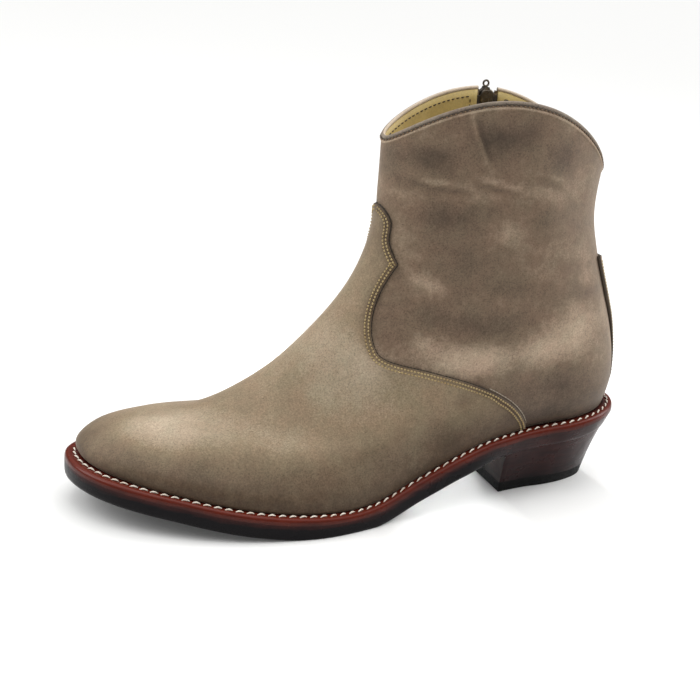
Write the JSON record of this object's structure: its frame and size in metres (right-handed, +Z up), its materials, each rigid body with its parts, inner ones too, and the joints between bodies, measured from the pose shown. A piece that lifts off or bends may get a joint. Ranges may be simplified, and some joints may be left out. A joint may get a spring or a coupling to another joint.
{
  "type": "western ankle boot",
  "caption": "Low western ankle boot for the left foot: rounded almond toe, vamp with a pointed tab, curved collar, inner side zip, stitched welt and an underslung stacked heel.",
  "frame": {"origin": "on the floor under the middle of the boot's bounding box", "axes": "-X towards the toe, +X towards the heel, -Y to the outer side of the foot, +Y to the inner side with the zip, +Z up"},
  "size_m": [0.2995, 0.1088, 0.2122],
  "materials": {
    "outsole_rubber": "matt black, slightly rough edge",
    "welt_leather": "burnished mahogany, glossy edge",
    "heel_leather": "burnished dark mahogany, glossy",
    "top_lift_rubber": "matt black",
    "insole_leather": "plain tan leather",
    "shaft_leather": "waxed brown-grey nubuck, matt with soft pull-up marks",
    "vamp_leather": "waxed taupe nubuck, matt",
    "backstay_leather": "waxed brown nubuck, matt",
    "binding_leather": "rolled taupe leather",
    "zip_tape_cloth": "woven dark brown tape",
    "zip_metal": "dark gunmetal",
    "slider_metal": "dark gunmetal",
    "pull_metal": "dark gunmetal"
  },
  "bodies": {
    "boot": {"outsole": "outsole_rubber", "welt": "welt_leather", "heel_stack": "heel_leather", "heel_top_lift": "top_lift_rubber", "insole": "insole_leather", "upper": "shaft_leather", "vamp": "vamp_leather", "backstay": "backstay_leather", "collar_binding": "binding_leather", "zip_tape": "zip_tape_cloth", "zip_teeth": "zip_metal", "zip_slider": "slider_metal"},
    "pull_tab": {"zip_pull": "pull_metal"}
  },
  "joints": [
    {"name": "pull_tab_swing", "type": "hinge", "parent": "boot", "child": "pull_tab", "pos_m": [0.07373, 0.04041, 0.20592], "axis": [0.9991, -0.034, 0.0239], "range_deg": [-5, 160]}
  ]
}
